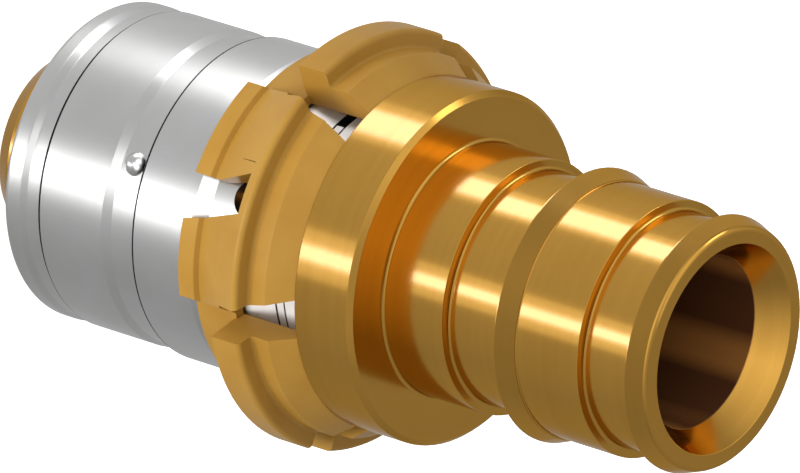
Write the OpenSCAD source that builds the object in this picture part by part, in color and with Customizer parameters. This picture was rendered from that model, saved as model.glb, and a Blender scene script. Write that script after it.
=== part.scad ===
// Brass pipe adapter: ribbed spigot for cross-linked pipe above, press end for layered pipe below
// It stands on the nose of its press end, with the axis along Z and the spigot's mouth upwards

/* [Main lengths] */
// Ribbed spigot, from the mouth to the collar
spigot_length = 27.5; // [25:0.5:34]
// Collar, along the axis
collar_width = 6; // [4:0.5:9]
// Press end, from the collar to the nose
press_length = 39.1; // [37.5:0.1:46]

/* [Brass body] */
// Bore diameter of the water way
bore_d = 15; // [12:0.1:16]
// Collar diameter
collar_d = 30.9; // [29.5:0.1:33]
// Bevel on the edge of the collar's upper face
collar_bevel = 0.45; // [0.2:0.05:1]
// Fillet at the foot of each shoulder on the spigot
foot_fillet = 0.3; // [0.1:0.05:0.4]
// Rounding of the turned edges
turned_edge = 0.08; // [0.04:0.02:0.12]
// Diameter of the neck that carries the press sleeve
neck_d = 22.6; // [21:0.1:23]
// Neck, from the collar to the pipe's stop
neck_length = 6.1; // [5:0.1:6.5]
// Slant length of the nose, along the axis
nose_length = 2.3; // [1.5:0.1:4]
// Wall left at the very tip of the nose
nose_wall = 0.5; // [0.4:0.1:1]

/* [Spigot ribs] */
// Diameter of the low rounds, which is the cross-linked pipe's inner diameter
low_round_d = 20.4; // [19.6:0.1:21.5]
// Height of the raised rounds over the low ones
land_height = 0.9; // [0.5:0.05:1.2]
// Height of the barb over the low rounds
barb_height = 1.68; // [1.3:0.02:2]
// Barb, along the axis
barb_width = 1.75; // [1:0.05:2.5]
// Small step at the foot of the barb's slope
barb_foot_step = 0.15; // [0.15:0.05:0.3]
// Hollow round at the foot of that step
barb_foot_round = 0.12; // [0.06:0.02:0.12]
// Narrow flat left on the crests of the lip and the barb
edge_flat = 0.1; // [0.05:0.05:0.2]
// Sharp-backed lip at the mouth, along the axis
lip_width = 1.9; // [1.4:0.1:2.5]
// Height of the lip's front edge over the low rounds
lip_front_height = 0.25; // [0.1:0.05:0.4]
// Rounding of the mouth's outer edge
mouth_round = 0.5; // [0.2:0.05:0.7]
// Inner diameter of the flat rim at the mouth
mouth_d = 18.1; // [17.2:0.1:18.3]
// Depth of the cone inside the mouth
mouth_cone_depth = 2.7; // [1:0.1:4]
// Low round behind the lip
front_groove_width = 4.9; // [3.5:0.1:5.5]
// Raised round between the front groove and the barb
front_land_width = 6.5; // [5:0.1:7]
// Low round behind the barb
rear_groove_width = 6.1; // [4:0.1:6.5]

/* [Press end and its sealing rings] */
// Outer diameter of the layered pipe that the press end takes
press_pipe_od = 25; // [24.8:0.1:25.2]
// Wall of the layered pipe
press_pipe_wall = 2.5; // [2.4:0.1:2.8]
// Radial play between the insert and the pipe
insert_play = 0.2; // [0.1:0.05:0.3]
// Radial play between the pipe and the sleeve
sleeve_play = 0.4; // [0.3:0.05:0.6]
// Thickness of each sealing ring's cord
seal_cord_d = 2; // [1.6:0.1:2.2]
// How far each sealing ring stands out of the insert
seal_stand = 0.55; // [0.3:0.05:0.6]
// Room left along the axis beside each sealing ring
seal_side_play = 0.6; // [0.3:0.1:1]
// Height of the lower sealing ring over the nose
lower_seal_z = 13; // [8:0.5:17]
// Height of the upper sealing ring over the nose
upper_seal_z = 23; // [20:0.5:28]

/* [Press sleeve] */
// Sheet thickness of the sleeve
sleeve_wall = 1.1; // [0.8:0.05:1.2]
// Length of the sleeve
sleeve_length = 33.4; // [33:0.1:35]
// Air between the sleeve's upper end and the collar
sleeve_end_gap = 0.1; // [0.05:0.05:0.3]
// Radial play between the neck and the sleeve around it
neck_play = 0.05; // [0.02:0.01:0.15]
// Straight upper end of the sleeve, around the neck
seat_length = 3.6; // [3:0.1:4]
// Band between the two fine grooves above the cone
seat_band = 0.9; // [0.5:0.05:1.2]
// Width of the two fine grooves of the seat
seat_groove_width = 0.15; // [0.05:0.05:0.3]
// Depth of the two fine grooves of the seat
seat_groove_depth = 0.3; // [0.1:0.05:0.5]
// Cone that widens from the seat
cone_length = 2.3; // [1.5:0.1:3]
// How far the sleeve is drawn in along its two recessed bands
recess_depth = 0.3; // [0.1:0.05:0.35]
// How far the middle of the sleeve stands out
barrel_rise = 0.25; // [0.1:0.05:0.5]
// Recessed band above the barrel
upper_recess = 4.4; // [4.1:0.1:4.6]
// Barrel between the two recessed bands, with its upper shoulder
barrel_length = 7.6; // [6:0.1:8]
// Recessed band below the barrel
lower_recess = 2.7; // [2.2:0.1:3]
// Slanted shoulder above the barrel, along the axis
shoulder_length = 1.4; // [1:0.1:1.7]
// Slanted shoulder below the lower band, along the axis
lower_shoulder = 0.9; // [0.6:0.1:1.4]
// Drawn-in end of the sleeve, from its line to the open end
bead_length = 4.1; // [3.5:0.1:5]
// Straight part behind that line
bead_neck_length = 1.5; // [1:0.1:1.8]
// Rise from the straight part to the bead's crest, along the axis
bead_rise = 0.8; // [0.4:0.1:1]
// How far the sheet is drawn in behind the line
bead_neck_depth = 0.25; // [0.1:0.05:0.5]
// Rounding of the sleeve's open end
bead_round = 0.6; // [0.3:0.05:0.9]
// Inner rounding of the sheet's bends
bend_round = 0.15; // [0.05:0.05:0.2]
// Width of the fine crease under the barrel and at the bead's line
crease_width = 0.16; // [0.08:0.02:0.3]
// Depth of those creases
crease_depth = 0.16; // [0.05:0.02:0.3]
// Diameter of the round sight hole
sight_hole_d = 3.3; // [2:0.1:3.4]
// Distance of the sight hole from the collar
sight_hole_drop = 7.6; // [7.4:0.1:8.3]
// Diameter of the small round boss in the lower band
boss_d = 2.15; // [1:0.05:2.4]
// How deep the centre of the boss's ball lies under the sheet's face
boss_sink = 0.25; // [0:0.05:0.6]
// Windows in the seat
window_count = 3; // [1:1:4]
// Width of each window around the seat
window_width = 3; // [1:0.1:4]
// Direction of the first window, from the front
window_angle = 48; // [0:1:90]

/* [Stop ring] */
// Diameter over the petals' rims
ring_d = 36.9; // [35.5:0.1:40]
// Diameter over the petals' crests
crest_d = 33.6; // [32.5:0.1:35]
// Radial play between the stop ring and the sleeve
ring_play = 0.06; // [0.03:0.01:0.2]
// Thickness of the closed base behind the petals
ring_base_wall = 0.94; // [0.6:0.02:1.3]
// How far the tabs stand out from the base
tab_step = 0.4; // [0.2:0.05:0.7]
// How far the ring's front edge is set in from the collar
ring_front_inset = 0.15; // [0.05:0.05:0.3]
// Slope from the collar up to the crest, along the axis
crest_start = 2.1; // [1.8:0.1:2.8]
// Front of the rim, from the collar
rim_start = 3.9; // [3.6:0.1:4.2]
// Back of the rim, from the collar
rim_end = 6.9; // [6:0.1:8]
// Front of the closed base, from the collar
base_start = 6.7; // [5.8:0.1:6.7]
// Back of the closed base, from the collar
base_end = 11.1; // [10:0.1:11.5]
// Rounding of the rim's front edge
rim_round = 0.45; // [0.1:0.05:0.6]
// Rounding of the ring's other moulded edges
moulded_edge = 0.15; // [0.05:0.05:0.2]
// Hollow round between the crest and the rim's front
crest_fillet = 0.3; // [0.1:0.05:0.4]
// Width of each notch between petals, in degrees
notch_angle = 9; // [6:0.5:14]
// Directions of the notches on each side, from the front
notch_directions = [35.9, 95.6, 152];

/* [Front petal of the stop ring] */
// Half width of the front petal
key_half_width = 9.45; // [8.5:0.05:9.8]
// Half width of the front petal at the collar
key_front_half_width = 6.95; // [6:0.05:8]
// Back of the front petal's rim, from the collar
key_rim_end = 4.4; // [4.4:0.1:6]
// Back of the groove across the front petal, from the collar
key_groove_end = 10.9; // [9.5:0.1:11.2]
// Groove, along the axis
key_groove_width = 0.3; // [0.2:0.05:0.6]
// Ends of the two tabs, from the collar
key_tab_end = 12.6; // [12:0.1:13.5]
// Closed end of the gap between the tabs, from the collar
gap_end = 5.2; // [4.6:0.1:6]
// Distance of the gap's waist from the collar
gap_waist = 9.6; // [8:0.1:10.5]
// Reach of the gap to the left, at its closed end, its waist and its mouth
gap_left = [2.05, 0.82, 0.8];
// Reach of the gap to the right, at its closed end, its waist and its mouth
gap_right = [1.52, 2.42, 3.45];
// Distance of the fine slit beside the gap from the petal's middle
slit_offset = 3.05; // [2.6:0.05:5]
// Length of the slit, from the gap's closed end
slit_length = 2.4; // [1:0.1:2.5]
// Width of the slit
slit_width = 0.06; // [0.04:0.02:0.2]
// Diameter at the slit's floor
slit_floor_d = 33; // [32:0.1:34]

/* [Hidden] */
$fn = 96;
// Overshoot of a cutter past the solid that it cuts
over = 1;
// Largest turn of each step around a rounded corner
corner_step = 18;

// Heights along the axis
collar_back_z = press_length;
collar_front_z = collar_back_z + collar_width;
mouth_z = collar_front_z + spigot_length;
stop_z = collar_back_z - neck_length;

// Radii of the body
bore_r = bore_d / 2;
low_r = low_round_d / 2;
land_r = low_r + land_height;
barb_r = low_r + barb_height;
collar_r = collar_d / 2;
neck_r = neck_d / 2;
insert_r = press_pipe_od / 2 - press_pipe_wall - insert_play;
nose_r = bore_r + nose_wall;
seal_r = insert_r + seal_stand - seal_cord_d / 2;
seal_groove_r = seal_r - seal_cord_d / 2;
seal_groove_width = seal_cord_d + seal_side_play;

// Radii and heights of the sleeve
sleeve_r = press_pipe_od / 2 + sleeve_play + sleeve_wall;
seat_r = neck_r + neck_play + sleeve_wall;
recess_r = sleeve_r - recess_depth;
barrel_r = sleeve_r + barrel_rise;
sleeve_top_z = collar_back_z - sleeve_end_gap;
sleeve_foot_z = sleeve_top_z - sleeve_length;
cone_top_z = sleeve_top_z - seat_length - seat_band;
cone_foot_z = cone_top_z - cone_length;
barrel_top_z = cone_foot_z - upper_recess;
barrel_foot_z = barrel_top_z - barrel_length;
lower_recess_z = barrel_foot_z - lower_recess;
bead_top_z = sleeve_foot_z + bead_length;
boss_z = barrel_foot_z - lower_recess / 2;
// Run of the two steep steps along the sleeve
step_run = 0.1;

// Radii of the stop ring
rim_r = ring_d / 2;
crest_r = crest_d / 2;
ring_bore_r = barrel_r + ring_play;
ring_base_r = ring_bore_r + ring_base_wall;
tab_r = ring_base_r + tab_step;
ring_front_r = collar_r - ring_front_inset;
slit_floor_r = slit_floor_d / 2;

// Outline with rounded corners; each point states its radius, its height and its rounding
function rounded(points) = [
    for (i = [0:len(points) - 1])
        let (
            count = len(points),
            corner = [points[i].x, points[i].y],
            before = points[(i + count - 1) % count],
            after = points[(i + 1) % count]
        )
        each points[i].z == undef
            ? [corner]
            : turn(corner, toward(corner, before), toward(corner, after), points[i].z)
];

// Unit vector from one point to another
function toward(start, end) =
    let (run = [end.x - start.x, end.y - start.y])
    run / norm(run);

// Points of the arc that rounds a corner between two directions
function turn(corner, first, second, radius) =
    let (
        half = acos(first * second) / 2,
        centre = corner + toward([0, 0], first + second) * radius / sin(half),
        start = corner + first * radius / tan(half) - centre,
        end = corner + second * radius / tan(half) - centre,
        from = atan2(start.y, start.x),
        swing = atan2(start.x * end.y - start.y * end.x, start * end),
        steps = ceil(abs(swing) / corner_step)
    )
    [for (i = [0:steps]) centre + radius * [cos(from + swing * i / steps), sin(from + swing * i / steps)]];

// The same points in the other order, moved towards the axis by a distance
function inner_face(points, wall) = [
    for (i = [len(points) - 1:-1:0]) [points[i].x - wall, points[i].y]
];

// Height of a station that is given as a distance below the collar
function below_collar(distance) = collar_back_z - distance;

// Prism with walls along two radii, open towards the direction that it is turned to
module sector(width, z0, z1) {
    reach = 2 * rim_r;
    translate([0, 0, z0])
        linear_extrude(height = z1 - z0)
            polygon([
                [0, 0],
                reach * [sin(width / 2), -cos(width / 2)],
                reach * [-sin(width / 2), -cos(width / 2)],
            ]);
}

// Outline drawn on the front plane and driven from the axis out through the front
module front_prism(points) {
    rotate([90, 0, 0])
        linear_extrude(height = rim_r + over)
            polygon(points);
}

// Turned outline of the spigot, from the mouth down to the collar's upper face
function spigot_outline() =
    let (
        lip_z = mouth_z - lip_width,
        front_land_z = lip_z - front_groove_width,
        barb_z = front_land_z - front_land_width,
        rear_groove_z = barb_z - barb_width,
        rear_land_z = rear_groove_z - rear_groove_width,
        lip_front_r = low_r + lip_front_height
    )
    [
        [bore_r, mouth_z - mouth_cone_depth],
        [mouth_d / 2, mouth_z, turned_edge],
        [lip_front_r, mouth_z, mouth_round],
        [land_r, lip_z + edge_flat],
        [land_r, lip_z],
        [low_r, lip_z],
        [low_r, front_land_z, foot_fillet],
        [land_r, front_land_z, turned_edge],
        [land_r, barb_z, barb_foot_round],
        [land_r + barb_foot_step, barb_z],
        [barb_r, rear_groove_z + edge_flat],
        [barb_r, rear_groove_z],
        [low_r, rear_groove_z],
        [low_r, rear_land_z, foot_fillet],
        [land_r, rear_land_z, turned_edge],
        [land_r, collar_front_z, foot_fillet],
        [collar_r - collar_bevel, collar_front_z, turned_edge],
        [collar_r, collar_front_z - collar_bevel, turned_edge],
    ];

// Turned outline of the press end, from the collar's back down to the nose
function press_outline() = [
    [collar_r, collar_back_z, turned_edge],
    [neck_r, collar_back_z],
    [neck_r, stop_z],
    [insert_r, stop_z],
    [insert_r, nose_length, foot_fillet],
    [nose_r, 0],
    [bore_r, 0],
];

// One-piece turned body
module adapter_body() {
    color("#C8963C")
        difference() {
            rotate_extrude()
                polygon(rounded(concat(spigot_outline(), press_outline())));
            for (seal_z = [upper_seal_z, lower_seal_z])
                seal_groove(seal_z);
        }
}

// Square groove that a sealing ring lies in
module seal_groove(z) {
    translate([0, 0, z - seal_groove_width / 2])
        rotate_extrude()
            translate([seal_groove_r, 0])
                square([insert_r + over - seal_groove_r, seal_groove_width]);
}

// Rubber ring, stretched onto the bottom of its groove
module seal(z) {
    color("#202020")
        translate([0, 0, z])
            rotate_extrude()
                translate([seal_r, 0])
                    circle(d = seal_cord_d);
}

module upper_seal() {
    seal(upper_seal_z);
}

module lower_seal() {
    seal(lower_seal_z);
}

// Outer line of the drawn sheet, from the seat at the neck down to the open end
function sleeve_outline() =
    let (
        line_r = sleeve_r - bead_neck_depth,
        bead_neck_z = bead_top_z - bead_neck_length
    )
    [
        [seat_r, sleeve_top_z, bend_round],
        [seat_r, cone_top_z],
        [recess_r, cone_foot_z, bend_round],
        [recess_r, barrel_top_z, bend_round],
        [barrel_r, barrel_top_z - shoulder_length, bend_round],
        [barrel_r, barrel_foot_z, bend_round],
        [recess_r, barrel_foot_z - step_run],
        [recess_r, lower_recess_z, bend_round],
        [sleeve_r, lower_recess_z - lower_shoulder, bend_round],
        [sleeve_r, bead_top_z, bend_round / 2],
        [line_r, bead_top_z - step_run],
        [line_r, bead_neck_z, bead_round],
        [sleeve_r, bead_neck_z - bead_rise, bead_round],
        [sleeve_r, sleeve_foot_z, bead_round],
    ];

// Fine groove around the sleeve, below a height
module fine_groove(face_r, top_z, width, depth) {
    translate([0, 0, top_z - width])
        rotate_extrude()
            translate([face_r - depth, 0])
                square([depth + over, width]);
}

// Thin steel sleeve that is drawn around the neck and pressed onto the pipe
module press_sleeve() {
    sheet = sleeve_outline();
    end_face = [[sleeve_r - sleeve_wall, sleeve_foot_z]];
    upper_groove_z = sleeve_top_z - seat_length;
    color("#B8BCC0")
        difference() {
            union() {
                rotate_extrude()
                    polygon(rounded(concat(sheet, end_face, inner_face(sheet, sleeve_wall))));
                boss();
            }
            for (z = [upper_groove_z, cone_top_z])
                fine_groove(seat_r, z + seat_groove_width / 2, seat_groove_width, seat_groove_depth);
            fine_groove(recess_r, barrel_foot_z - step_run, crease_width, crease_depth);
            fine_groove(sleeve_r - bead_neck_depth, bead_top_z - step_run, crease_width, crease_depth);
            sight_hole();
            for (i = [0:window_count - 1])
                rotate([0, 0, -window_angle - i * 360 / window_count])
                    seat_window(upper_groove_z);
        }
}

// Small round boss in the recessed band, at the front
module boss() {
    translate([0, boss_sink - recess_r, boss_z])
        sphere(d = boss_d);
}

// Round hole that shows whether the pipe is fully in
module sight_hole() {
    translate([0, 0, below_collar(sight_hole_drop)])
        rotate([90, 0, 0])
            cylinder(d = sight_hole_d, h = barrel_r + over);
}

// Small window between the two fine grooves of the seat
module seat_window(z) {
    translate([-window_width / 2, -seat_r - over, z - seat_band])
        cube([window_width, seat_r + over, seat_band]);
}

// Outer line of a petal's front, from the collar to the rim
petal_front = [
    [ring_front_r, collar_back_z, moulded_edge],
    [crest_r, below_collar(crest_start), moulded_edge],
    [crest_r, below_collar(rim_start), crest_fillet],
    [rim_r, below_collar(rim_start), rim_round],
];

// Turned blank with a straight bore, which ends at the collar
module ring_blank(front, back, back_z) {
    ends = [[ring_bore_r, back_z], [ring_bore_r, collar_back_z]];
    rotate_extrude()
        polygon(rounded(concat(ends, front, back)));
}

// Closed ring that ties the petals together behind their rims
module ring_base() {
    rotate_extrude()
        polygon(rounded([
            [ring_bore_r, below_collar(base_end)],
            [ring_bore_r, below_collar(base_start)],
            [ring_base_r, below_collar(base_start)],
            [ring_base_r, below_collar(base_end), moulded_edge],
        ]));
}

// Ring of plain petals, cut by the notches and open where the front petal goes
module plain_petals() {
    z0 = below_collar(rim_end) - over;
    z1 = collar_back_z + over;
    front_width = 2 * notch_directions[0] + notch_angle;
    difference() {
        ring_blank(petal_front, [[rim_r, below_collar(rim_end), moulded_edge]], below_collar(rim_end));
        sector(front_width, z0, z1);
        for (i = [1:len(notch_directions) - 1])
            for (side = [-1, 1])
                rotate([0, 0, side * notch_directions[i]])
                    sector(notch_angle, z0, z1);
    }
}

// Wedge that is radial at the front petal's rim and leans forward above it, so that it narrows
module key_wedge() {
    side = asin(key_half_width / rim_r);
    front_reach = sqrt(pow(ring_front_r, 2) - pow(key_front_half_width, 2));
    lean = atan((front_reach - key_front_half_width / tan(side)) / key_rim_end);
    translate([0, 0, below_collar(key_rim_end)])
        rotate([lean, 0, 0])
            sector(2 * atan(tan(side) / cos(lean)), -rim_r, rim_r);
}

// Front petal with its groove and the two tabs that reach back along the sleeve
module key_petal() {
    tab_z = below_collar(key_tab_end);
    back = [
        [rim_r, below_collar(key_rim_end)],
        [ring_base_r, below_collar(key_groove_end - key_groove_width)],
        [tab_r, below_collar(key_groove_end), moulded_edge],
        [tab_r, tab_z, moulded_edge],
    ];
    intersection() {
        ring_blank(petal_front, back, tab_z);
        union() {
            front_block(tab_z, below_collar(base_start));
            intersection() {
                front_block(below_collar(rim_end), collar_back_z);
                key_wedge();
            }
        }
    }
}

// Block as wide as the front petal, from the axis out through the front
module front_block(z0, z1) {
    translate([-key_half_width, -rim_r - over, z0])
        cube([2 * key_half_width, rim_r + over, z1 - z0]);
}

// Fine slit that runs back from the gap's closed end beside the gap
module slit() {
    translate([-slit_offset - slit_width / 2, -rim_r - over, below_collar(gap_end + slit_length)])
        cube([slit_width, rim_r + over - slit_floor_r, slit_length]);
}

// Gap between the two tabs, narrow at its waist and open at the back
module tab_gap() {
    stations = [gap_end, gap_waist, key_tab_end + over];
    left = [for (i = [0:2]) [-gap_left[i], below_collar(stations[i])]];
    right = [for (i = [2:-1:0]) [gap_right[i], below_collar(stations[i])]];
    front_prism(concat(left, right));
}

// Moulded ring that shows which pipe size the fitting takes and stops the press jaws
module stop_ring() {
    color("#C99B4C")
        difference() {
            union() {
                ring_base();
                plain_petals();
                key_petal();
            }
            tab_gap();
            slit();
        }
}

adapter_body();
press_sleeve();
stop_ring();
upper_seal();
lower_seal();
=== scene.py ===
"""Pipe adapter: finishes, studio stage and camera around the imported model."""
import math

import bmesh
import bpy
from bpy.props import FloatProperty, FloatVectorProperty, PointerProperty, StringProperty
from bpy.types import Operator, Panel, PropertyGroup
from mathutils import Matrix, Vector

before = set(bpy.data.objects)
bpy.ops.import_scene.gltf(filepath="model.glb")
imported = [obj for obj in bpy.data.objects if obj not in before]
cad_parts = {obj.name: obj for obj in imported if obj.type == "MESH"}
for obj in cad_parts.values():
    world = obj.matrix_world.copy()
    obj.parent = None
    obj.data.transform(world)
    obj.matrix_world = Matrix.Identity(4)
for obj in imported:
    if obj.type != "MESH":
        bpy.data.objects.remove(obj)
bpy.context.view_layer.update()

bl_info = {
    "name": "Pipe Adapter",
    "version": (1, 0, 0),
    "blender": (4, 5, 0),
    "location": "View3D > Sidebar > Adapter",
    "description": "Dresses a brass pipe adapter with a steel press sleeve and a plastic stop ring",
    "category": "Object",
}


# One millimetre, in metres
MM = 0.001
# Radius of the bore, and the width of the edge between its finish and the outside's, in metres
BORE_RADIUS = 0.00751
BORE_EDGE = 0.00003
# Heights between which the sleeve's sheet changes its finish, in metres
SEAT_START, SEAT_END = 0.0320, 0.0326
# Heights of the thin lines of painted shade at the sleeve's two creases and in the seat's two grooves,
# and how far each reaches up and down, in metres
CREASE_SHADE_LINES = ((0.02012, 0.0003), (0.0096, 0.0002), (0.0354, 0.00008), (0.0345, 0.00008))

# Widths of the patterns' patches and grains, in millimetres
TARNISH_CLOUD = 6.25
# Width of the painted reflection streaks along the bore
BORE_REFLECTION_STREAK = 4.545
OIL_PATCH = 8.333
FLOW_PATCH = 4.545
MOULD_GRAIN = 0.286
BLOOM_PATCH = 2
RUBBER_GRAIN = 0.111

# Half the floor's side, and the point that the lights face, in metres
FLOOR_REACH = 3.0
LIT_POINT = Vector((0, 0, 0.04))
# Elevation, in degrees, from which the upright rounds mirror a light into the camera
MIRRORED = -35.8


def linear(hex_colour):
    """sRGB hex such as "#C8963C" as linear red, green, blue and alpha."""
    channels = [int(hex_colour[i : i + 2], 16) / 255 for i in (1, 3, 5)]
    return [c / 12.92 if c <= 0.04045 else ((c + 0.055) / 1.055) ** 2.4 for c in channels] + [1.0]


def add_node(tree, kind, inputs=None, result=0, stops=(), **settings):
    """Adds a node with its settings and links, and gives back the output that is asked for.

    An input is a value or the output that feeds it, and a stop is a ramp's position and its colour.
    """
    node = tree.nodes.new(kind)
    for name, value in settings.items():
        setattr(node, name, value)
    for index, (position, colour) in enumerate(stops):
        stop = node.color_ramp.elements[index] if index < 2 else node.color_ramp.elements.new(1.0)
        stop.position, stop.color = position, colour
    for key, value in (inputs or {}).items():
        socket = node.inputs[key]
        if isinstance(value, bpy.types.NodeSocket):
            tree.links.new(value, socket)
        else:
            socket.default_value = value
    return node.outputs[result] if node.outputs else None


def cells(width):
    """Scale at which the cells of a noise are as wide as a size in millimetres."""
    return 1 / (width * MM)


def new_material(name):
    """An empty node material, and the tree to build in."""
    material = bpy.data.materials.new(name)
    material.use_nodes = True
    material.node_tree.nodes.clear()
    return material, material.node_tree


def dress(node_name, material):
    """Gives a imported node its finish."""
    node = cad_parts[node_name]
    if not node.data.materials:
        node.data.materials.append(material)
    for slot in node.material_slots:
        slot.material = material


def around_axis(tree, pitch, drift):
    """Coordinates in which a noise runs around the axis as the marks of turning or drawing do.

    One cell across the marks is the pitch, in millimetres, on rounds and on flat faces alike, and one
    cell along them is the drift.
    """
    place = add_node(tree, "ShaderNodeTexCoord", result="Object")
    parts = add_node(tree, "ShaderNodeSeparateXYZ", {0: place}).node
    flat = add_node(tree, "ShaderNodeCombineXYZ", {"X": parts.outputs["X"], "Y": parts.outputs["Y"]})
    radius = add_node(tree, "ShaderNodeVectorMath", {0: flat}, result="Value", operation="LENGTH")
    across = add_node(tree, "ShaderNodeMath", {0: radius, 1: parts.outputs["Z"]}, operation="ADD")
    placed = add_node(tree, "ShaderNodeCombineXYZ", {
        "X": across, "Y": parts.outputs["X"], "Z": parts.outputs["Y"],
    })
    return add_node(tree, "ShaderNodeMapping", {
        "Vector": placed, "Scale": (cells(pitch), cells(drift), cells(drift)),
    })


class ADAPTER_PG_finish(PropertyGroup):
    brass: StringProperty(name="Brass", description="Colour of the turned brass", default="#CF9C42")
    tarnish: StringProperty(name="Tarnish", description="Brass under its thin tarnish", default="#C9963D")
    grazing: StringProperty(
        name="Brass edge", description="Tint of the brass at a flat angle", default="#E4CDA4",
    )
    bore: StringProperty(name="Bore", description="Brown of the drilled bore", default="#6C452B")
    # Painted reflection: the paler streaks along the bore
    bore_reflection_streak: StringProperty(
        name="Bore streak", description="Paler streaks along the bore", default="#C88A48",
    )
    steel: StringProperty(name="Steel", description="Colour of the sleeve's steel", default="#D0D0D0")
    oil_film: StringProperty(
        name="Oil film", description="Steel under the drawing oil's film", default="#C2C2C0",
    )
    blank_skin: StringProperty(
        name="Blank's skin", description="Pale matt seat of the sleeve", default="#F8F6F4",
    )
    # Painted shade: the nearly black colour of the lines at the sleeve's creases and the seat's grooves
    crease_shade: StringProperty(name="Old oil", description="Dark oil in the sleeve's creases", default="#2A2A2A")
    plastic: StringProperty(name="Plastic", description="Colour of the stop ring", default="#B4893C")
    flow_mark: StringProperty(
        name="Flow mark", description="Darker flow marks of the stop ring", default="#AB7F34",
    )
    rubber: StringProperty(name="Rubber", description="Colour of the seals", default="#1C1C1C")
    bloom: StringProperty(name="Bloom", description="Pale bloom on the seals", default="#343332")
    mark_pitch: FloatProperty(
        name="Mark pitch", description="Between the turning marks, in millimetres", default=0.16,
    )
    mark_depth: FloatProperty(
        name="Mark depth", description="Depth of the turning marks, in millimetres",
        default=0.0005, precision=4,
    )


class ADAPTER_PG_camera(PropertyGroup):
    aim: FloatVectorProperty(
        name="Aim", description="Point that the camera looks at", size=3, subtype="XYZ", unit="LENGTH",
        default=(-0.00099, -0.00002, 0.03752),
    )
    distance: FloatProperty(
        name="Distance", description="From the aim to the camera", default=1.02473,
        subtype="DISTANCE", unit="LENGTH",
    )
    azimuth: FloatProperty(
        name="Azimuth", description="Turn around the adapter, from the front", default=math.radians(1.03),
        subtype="ANGLE", unit="ROTATION",
    )
    elevation: FloatProperty(
        name="Elevation", description="Height over the horizon", default=math.radians(35.85),
        subtype="ANGLE", unit="ROTATION",
    )
    roll: FloatProperty(
        name="Roll", description="Turn about the line of sight", default=math.radians(107.2),
        subtype="ANGLE", unit="ROTATION",
    )
    lens: FloatProperty(name="Lens", description="Focal length in millimetres", default=545.7, min=10)


class ADAPTER_OT_brass(Operator):
    """Satin turned brass on the body"""

    bl_idname = "adapter.brass"
    bl_label = "Brass body"

    def execute(self, context):
        # Free-cutting brass straight from the lathe: fine rings from the tool draw every highlight out
        # along the axis, and a thin uneven tarnish warms and dims the metal between them. The real
        # rings are about 0.05 mm apart, too fine to show, and are drawn three times as coarse.
        # The drilled bore is duller and browner than the turned outside, with paler streaks along it that are
        # painted reflections.
        finish = context.scene.adapter_finish
        material, tree = new_material("turned_brass")
        place = add_node(tree, "ShaderNodeTexCoord", result="Object")
        rings = add_node(tree, "ShaderNodeTexNoise", {
            "Vector": around_axis(tree, finish.mark_pitch, drift=12), "Scale": 1.0, "Detail": 2.0,
        })
        passes = add_node(tree, "ShaderNodeTexNoise", {
            "Vector": around_axis(tree, pitch=0.7, drift=20), "Scale": 1.0, "Detail": 1.0,
        })
        clouds = add_node(tree, "ShaderNodeTexNoise", {
            "Vector": place, "Scale": cells(TARNISH_CLOUD), "Detail": 3.0,
        })
        dull = add_node(tree, "ShaderNodeMath", {0: clouds, 1: passes}, operation="MULTIPLY")
        colour = add_node(tree, "ShaderNodeValToRGB", {"Fac": dull},
                          stops=((0.1, linear(finish.brass)), (0.45, linear(finish.tarnish))))
        flat = add_node(tree, "ShaderNodeMapping", {"Vector": place, "Scale": (1.0, 1.0, 0.0)})
        radius = add_node(tree, "ShaderNodeVectorMath", {0: flat}, result="Value", operation="LENGTH")
        # Paler streaks along the bore: painted reflections
        streaks = add_node(tree, "ShaderNodeTexNoise", {
            "Vector": flat, "Scale": cells(BORE_REFLECTION_STREAK), "Detail": 0.0,
        })
        bore = add_node(tree, "ShaderNodeValToRGB", {"Fac": streaks},
                        stops=((0.4, linear(finish.bore)), (0.62, linear(finish.bore_reflection_streak))))
        outside = add_node(tree, "ShaderNodeMapRange", {
            "Value": radius, "From Min": BORE_RADIUS, "From Max": BORE_RADIUS + BORE_EDGE,
        })
        rough = add_node(tree, "ShaderNodeMapRange", {
            "Value": rings, "From Min": 0.3, "From Max": 0.7, "To Min": 0.155, "To Max": 0.175,
        })
        normal = add_node(tree, "ShaderNodeBump", {"Height": rings, "Distance": finish.mark_depth * MM})
        surface = add_node(tree, "ShaderNodeBsdfPrincipled", {
            "Base Color": add_node(tree, "ShaderNodeMix", {0: outside, 6: bore, 7: colour},
                                   result=2, data_type="RGBA"),
            "Metallic": add_node(tree, "ShaderNodeMapRange", {
                "Value": outside, "To Min": 0.4, "To Max": 1.0,
            }),
            "Roughness": add_node(tree, "ShaderNodeMix", {0: outside, 2: 0.2, 3: rough}),
            "Specular Tint": linear(finish.grazing),
            "Coat Weight": 0.25,
            "Coat Roughness": 0.06,
            "Normal": normal,
        })
        add_node(tree, "ShaderNodeOutputMaterial", {"Surface": surface})
        dress("adapter_body", material)
        return {"FINISHED"}


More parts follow.
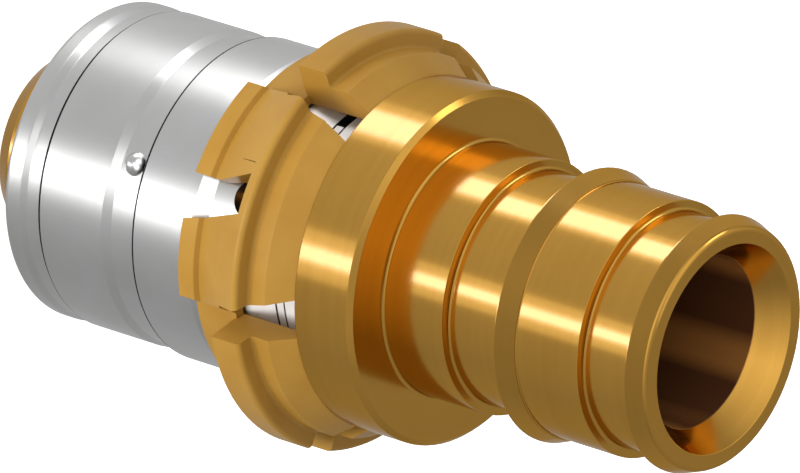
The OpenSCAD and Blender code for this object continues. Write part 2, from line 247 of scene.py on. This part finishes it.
class ADAPTER_OT_steel(Operator):
    """Satin drawn stainless sheet on the sleeve"""

    bl_idname = "adapter.steel"
    bl_label = "Press sleeve"

    def execute(self, context):
        # Deep-drawn stainless sheet: a soft satin face whose very fine drawing lines and oil film
        # break the wide highlights a little, so that the sleeve looks pale and smooth, not mirrored.
        # The seat under the stop ring keeps the pale matt skin of the blank, and nearly black lines of
        # painted shade lie at the two creases and in the seat's two grooves. The real drawing lines are a few
        # hundredths of a millimetre apart, too fine to show, and are drawn 0.22 mm apart.
        finish = context.scene.adapter_finish
        material, tree = new_material("drawn_stainless")
        place = add_node(tree, "ShaderNodeTexCoord", result="Object")
        lines = add_node(tree, "ShaderNodeTexNoise", {
            "Vector": around_axis(tree, pitch=0.22, drift=8), "Scale": 1.0, "Detail": 2.0,
        })
        film = add_node(tree, "ShaderNodeTexNoise", {
            "Vector": place, "Scale": cells(OIL_PATCH), "Detail": 3.0,
        })
        colour = add_node(tree, "ShaderNodeValToRGB", {"Fac": film},
                          stops=((0.3, linear(finish.steel)), (0.75, linear(finish.oil_film))))
        height = add_node(tree, "ShaderNodeSeparateXYZ", {0: place}, result="Z")
        seat = add_node(tree, "ShaderNodeMapRange", {
            "Value": height, "From Min": SEAT_START, "From Max": SEAT_END,
        })
        rough = add_node(tree, "ShaderNodeMapRange", {
            "Value": film, "From Min": 0.3, "From Max": 0.7, "To Min": 0.27, "To Max": 0.31,
        })
        # Thin lines of painted shade at the creases and in the seat's grooves
        shaded_lines = 0.0
        for level, reach in CREASE_SHADE_LINES:
            line = add_node(tree, "ShaderNodeMath", {0: height, 1: level, 2: reach}, operation="COMPARE")
            shaded_lines = add_node(tree, "ShaderNodeMath", {0: shaded_lines, 1: line}, operation="ADD")
        skin = add_node(tree, "ShaderNodeMix", {0: seat, 6: colour, 7: linear(finish.blank_skin)},
                        result=2, data_type="RGBA")
        normal = add_node(tree, "ShaderNodeBump", {"Height": lines, "Distance": 0.0015 * MM})
        surface = add_node(tree, "ShaderNodeBsdfPrincipled", {
            "Base Color": add_node(tree, "ShaderNodeMix", {0: shaded_lines, 6: skin, 7: linear(finish.crease_shade)},
                                   result=2, data_type="RGBA"),
            "Metallic": add_node(tree, "ShaderNodeMapRange", {"Value": seat, "To Min": 1.0, "To Max": 0.0}),
            "Roughness": rough,
            "Normal": normal,
        })
        add_node(tree, "ShaderNodeOutputMaterial", {"Surface": surface})
        dress("press_sleeve", material)
        return {"FINISHED"}


class ADAPTER_OT_plastic(Operator):
    """Moulded ochre plastic on the stop ring"""

    bl_idname = "adapter.plastic"
    bl_label = "Stop ring"

    def execute(self, context):
        # Glass-filled polyamide from an eroded mould: a fine grain scatters the light into a soft
        # sheen with small glints on the rounded edges, and faint flow marks cloud the ochre. The real
        # grain is finer than the picture shows, and is drawn coarser.
        finish = context.scene.adapter_finish
        material, tree = new_material("moulded_polyamide")
        place = add_node(tree, "ShaderNodeTexCoord", result="Object")
        flow = add_node(tree, "ShaderNodeTexNoise", {
            "Vector": place, "Scale": cells(FLOW_PATCH), "Detail": 4.0,
        })
        grain = add_node(tree, "ShaderNodeTexNoise", {
            "Vector": place, "Scale": cells(MOULD_GRAIN), "Detail": 2.0,
        })
        colour = add_node(tree, "ShaderNodeValToRGB", {"Fac": flow},
                          stops=((0.3, linear(finish.plastic)), (0.7, linear(finish.flow_mark))))
        rough = add_node(tree, "ShaderNodeMapRange", {
            "Value": grain, "From Min": 0.3, "From Max": 0.7, "To Min": 0.32, "To Max": 0.4,
        })
        normal = add_node(tree, "ShaderNodeBump", {"Height": grain, "Distance": 0.008 * MM})
        surface = add_node(tree, "ShaderNodeBsdfPrincipled", {
            "Base Color": colour,
            "Roughness": rough,
            "IOR": 1.53,
            "Specular IOR Level": 0.12,
            "Normal": normal,
        })
        add_node(tree, "ShaderNodeOutputMaterial", {"Surface": surface})
        dress("stop_ring", material)
        return {"FINISHED"}


class ADAPTER_OT_rubber(Operator):
    """Black moulded rubber on the seals"""

    bl_idname = "adapter.rubber"
    bl_label = "Seals"

    def execute(self, context):
        # Moulded EPDM cord rings: nearly black and soft-sheened, with a faint grey bloom in patches
        # that keeps them from reading as holes in the insert.
        finish = context.scene.adapter_finish
        material, tree = new_material("moulded_epdm")
        place = add_node(tree, "ShaderNodeTexCoord", result="Object")
        patches = add_node(tree, "ShaderNodeTexNoise", {
            "Vector": place, "Scale": cells(BLOOM_PATCH), "Detail": 4.0,
        })
        skin = add_node(tree, "ShaderNodeTexNoise", {
            "Vector": place, "Scale": cells(RUBBER_GRAIN), "Detail": 2.0,
        })
        colour = add_node(tree, "ShaderNodeValToRGB", {"Fac": patches},
                          stops=((0.3, linear(finish.rubber)), (0.8, linear(finish.bloom))))
        rough = add_node(tree, "ShaderNodeMapRange", {
            "Value": patches, "From Min": 0.3, "From Max": 0.7, "To Min": 0.45, "To Max": 0.65,
        })
        normal = add_node(tree, "ShaderNodeBump", {"Height": skin, "Distance": 0.004 * MM})
        surface = add_node(tree, "ShaderNodeBsdfPrincipled", {
            "Base Color": colour, "Roughness": rough, "IOR": 1.52, "Normal": normal,
        })
        add_node(tree, "ShaderNodeOutputMaterial", {"Surface": surface})
        for seal in ("upper_seal", "lower_seal"):
            dress(seal, material)
        return {"FINISHED"}


def strip_light(name, azimuth, elevation, size, radiance, reach=0.5, shift=0.0, tint="#FFFFFF"):
    """An area light that faces the adapter from an azimuth and an elevation, in degrees.

    The radiance sets how bright it looks in the metal, whatever its size in metres; the shift moves it
    along its own length.
    """
    a, e = math.radians(azimuth), math.radians(elevation)
    back = Vector((math.sin(a) * math.cos(e), -math.cos(a) * math.cos(e), math.sin(e)))
    lamp = bpy.data.lights.new(name, "AREA")
    lamp.shape = "RECTANGLE"
    lamp.size, lamp.size_y = size
    lamp.energy = radiance * math.pi * size[0] * size[1]
    lamp.color = linear(tint)[:3]
    light = bpy.data.objects.new(name, lamp)
    turn = back.to_track_quat("Z", "Y")
    light.location = LIT_POINT + back * reach + turn @ Vector((0, shift, 0))
    light.rotation_mode = "QUATERNION"
    light.rotation_quaternion = turn
    light.visible_camera = False
    bpy.context.scene.collection.objects.link(light)
    return light


# Plain studio room: the sine of each ring's elevation, and the ring's brightness behind, to the right,
# in front, to the left and behind again
ROOM = (
    (-0.3, (0.5, 0.4, 0.6, 0.75, 0.5)),
    (0.1, (0.4, 0.3, 0.4, 0.4, 0.4)),
    (0.5, (0.4, 0.4, 1.5, 1.0, 0.4)),
    (0.8, (0.4, 0.4, 0.6, 1.2, 0.4)),
)


class ADAPTER_OT_stage(Operator):
    """Pale floor, soft light and the camera of the photograph"""

    bl_idname = "adapter.stage"
    bl_label = "Stage"

    def execute(self, context):
        self.floor()
        self.surroundings(context)
        self.lights()
        self.camera(context)
        context.scene.view_settings.view_transform = "Standard"
        return {"FINISHED"}

    def floor(self):
        mesh = bpy.data.meshes.new("floor")
        builder = bmesh.new()
        bmesh.ops.create_grid(builder, x_segments=1, y_segments=1, size=FLOOR_REACH)
        builder.to_mesh(mesh)
        builder.free()
        floor = bpy.data.objects.new("floor", mesh)
        bpy.context.scene.collection.objects.link(floor)
        material, tree = new_material("pale_floor")
        surface = add_node(tree, "ShaderNodeBsdfPrincipled", {
            "Base Color": linear("#FAFAFA"), "Roughness": 0.9,
            "Emission Color": linear("#FFFFFF"), "Emission Strength": 1.0,
        })
        add_node(tree, "ShaderNodeOutputMaterial", {"Surface": surface})
        mesh.materials.append(material)
        # The floor only gives the picture its white ground: the metal's light comes from the lamps
        floor.visible_glossy = False
        floor.visible_diffuse = False
        floor.visible_shadow = False

    def surroundings(self, context):
        """Plain room: grey behind and on the right, paler on the left, and bright in front."""
        world = bpy.data.worlds.new("studio")
        world.use_nodes = True
        tree = world.node_tree
        tree.nodes.clear()
        direction = add_node(tree, "ShaderNodeTexCoord", result="Generated")
        turned = add_node(tree, "ShaderNodeMapping", {"Vector": direction, "Scale": (-1.0, -1.0, 1.0)})
        parts = add_node(tree, "ShaderNodeSeparateXYZ", {0: turned}).node
        angle = add_node(tree, "ShaderNodeMath", {0: parts.outputs["X"], 1: parts.outputs["Y"]},
                         operation="ARCTAN2")
        share = add_node(tree, "ShaderNodeMapRange", {
            "Value": angle, "From Min": -math.pi, "From Max": math.pi,
        })
        rings = [
            add_node(tree, "ShaderNodeValToRGB", {"Fac": share}, stops=[
                (quarter / 4, (level, level, level, 1.0)) for quarter, level in enumerate(levels)
            ])
            for _, levels in ROOM
        ]
        radiance = rings[0]
        for (foot, _), (top, _), ring in zip(ROOM, ROOM[1:], rings[1:]):
            rise = add_node(tree, "ShaderNodeMapRange", {
                "Value": parts.outputs["Z"], "From Min": foot, "From Max": top,
            })
            radiance = add_node(tree, "ShaderNodeMix", {0: rise, 6: radiance, 7: ring},
                                result=2, data_type="RGBA")
        background = add_node(tree, "ShaderNodeBackground", {"Color": radiance})
        add_node(tree, "ShaderNodeOutputWorld", {"Surface": background})
        context.scene.world = world

    def lights(self):
        # No two stand at one distance, because a reflected ray would then find only one of them
        strip_light("front_glow", 20, MIRRORED, (0.23, 0.42), 0.6, reach=0.53)
        strip_light("left_glow", -74, MIRRORED, (0.11, 0.15), 0.5, reach=0.22, shift=0.07)
        # Each metal has its own strips and boxes: cold tubes whiten the brass's streaks, and wider ones
        # keep the steel's soft
        cold = "#909FFF"
        self.reserve(
            "adapter_body",
            strip_light("front_strip", 20, MIRRORED, (0.066, 0.4), 7.2, tint=cold),
            strip_light("left_strip", -72, MIRRORED, (0.058, 0.14), 6.3, reach=0.2, shift=0.065, tint=cold),
            strip_light("left_box", -103, 30, (0.28, 0.16), 2.6, reach=0.8),
        )
        self.reserve(
            "press_sleeve",
            strip_light("sleeve_strip", 20, MIRRORED, (0.066, 0.4), 3.4, reach=0.51),
            strip_light("sleeve_left_strip", -72, MIRRORED, (0.058, 0.14), 2.4, reach=0.205, shift=0.065),
            strip_light("sleeve_glow", 20, MIRRORED, (0.17, 0.4), 1.0, reach=0.54),
            strip_light("sleeve_left_glow", -73, MIRRORED, (0.11, 0.14), 0.8, reach=0.215, shift=0.065),
            strip_light("sleeve_front", 8, 8, (0.24, 0.2), 2.9),
            strip_light("sleeve_left", -95, 8, (0.24, 0.2), 2.8),
            strip_light("seat_left", -32, 32, (0.15, 0.15), 20.0),
            strip_light("seat_right", 32, 32, (0.15, 0.15), 20.0),
        )
        self.reserve(
            "stop_ring",
            strip_light("ring_fill", 16, -10, (0.4, 0.4), 9.5, reach=0.8),
            strip_light("ring_left", -75, -10, (0.3, 0.3), 2.2, reach=0.8),
        )

    def reserve(self, node_name, *lights):
        """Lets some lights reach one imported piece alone."""
        piece_only = bpy.data.collections.new(node_name + "_only")
        piece_only.objects.link(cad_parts[node_name])
        for light in lights:
            light.light_linking.receiver_collection = piece_only

    def camera(self, context):
        settings = context.scene.adapter_camera
        a, e = settings.azimuth, settings.elevation
        back = Vector((math.sin(a) * math.cos(e), -math.cos(a) * math.cos(e), math.sin(e)))
        camera = bpy.data.objects.new("camera", bpy.data.cameras.new("camera"))
        camera.data.sensor_width = 36
        camera.data.lens = settings.lens
        camera.data.clip_end = 10
        camera.location = Vector(settings.aim) + back * settings.distance
        level = back.to_track_quat("Z", "Y").to_matrix().to_4x4()
        turned = level @ Matrix.Rotation(settings.roll, 4, "Z")
        camera.rotation_euler = turned.to_euler()
        context.scene.collection.objects.link(camera)
        context.scene.camera = camera


class ADAPTER_PT_panel(Panel):
    """Lists the adapter's pieces and its stage"""

    bl_label = "Pipe adapter"
    bl_idname = "ADAPTER_PT_panel"
    bl_space_type = "VIEW_3D"
    bl_region_type = "UI"
    bl_category = "Adapter"

    def draw(self, context):
        for operator in OPERATORS:
            self.layout.operator(operator.bl_idname)


OPERATORS = (ADAPTER_OT_brass, ADAPTER_OT_steel, ADAPTER_OT_plastic, ADAPTER_OT_rubber, ADAPTER_OT_stage)
GROUPS = (ADAPTER_PG_finish, ADAPTER_PG_camera)


def register():
    for cls in (*GROUPS, *OPERATORS, ADAPTER_PT_panel):
        bpy.utils.register_class(cls)
    bpy.types.Scene.adapter_finish = PointerProperty(type=ADAPTER_PG_finish)
    bpy.types.Scene.adapter_camera = PointerProperty(type=ADAPTER_PG_camera)


def unregister():
    del bpy.types.Scene.adapter_camera
    del bpy.types.Scene.adapter_finish
    for cls in reversed((*GROUPS, *OPERATORS, ADAPTER_PT_panel)):
        bpy.utils.unregister_class(cls)


def main():
    register()
    for operator in OPERATORS:
        group, name = operator.bl_idname.split(".")
        getattr(getattr(bpy.ops, group), name)()


if __name__ == "__main__":
    main()
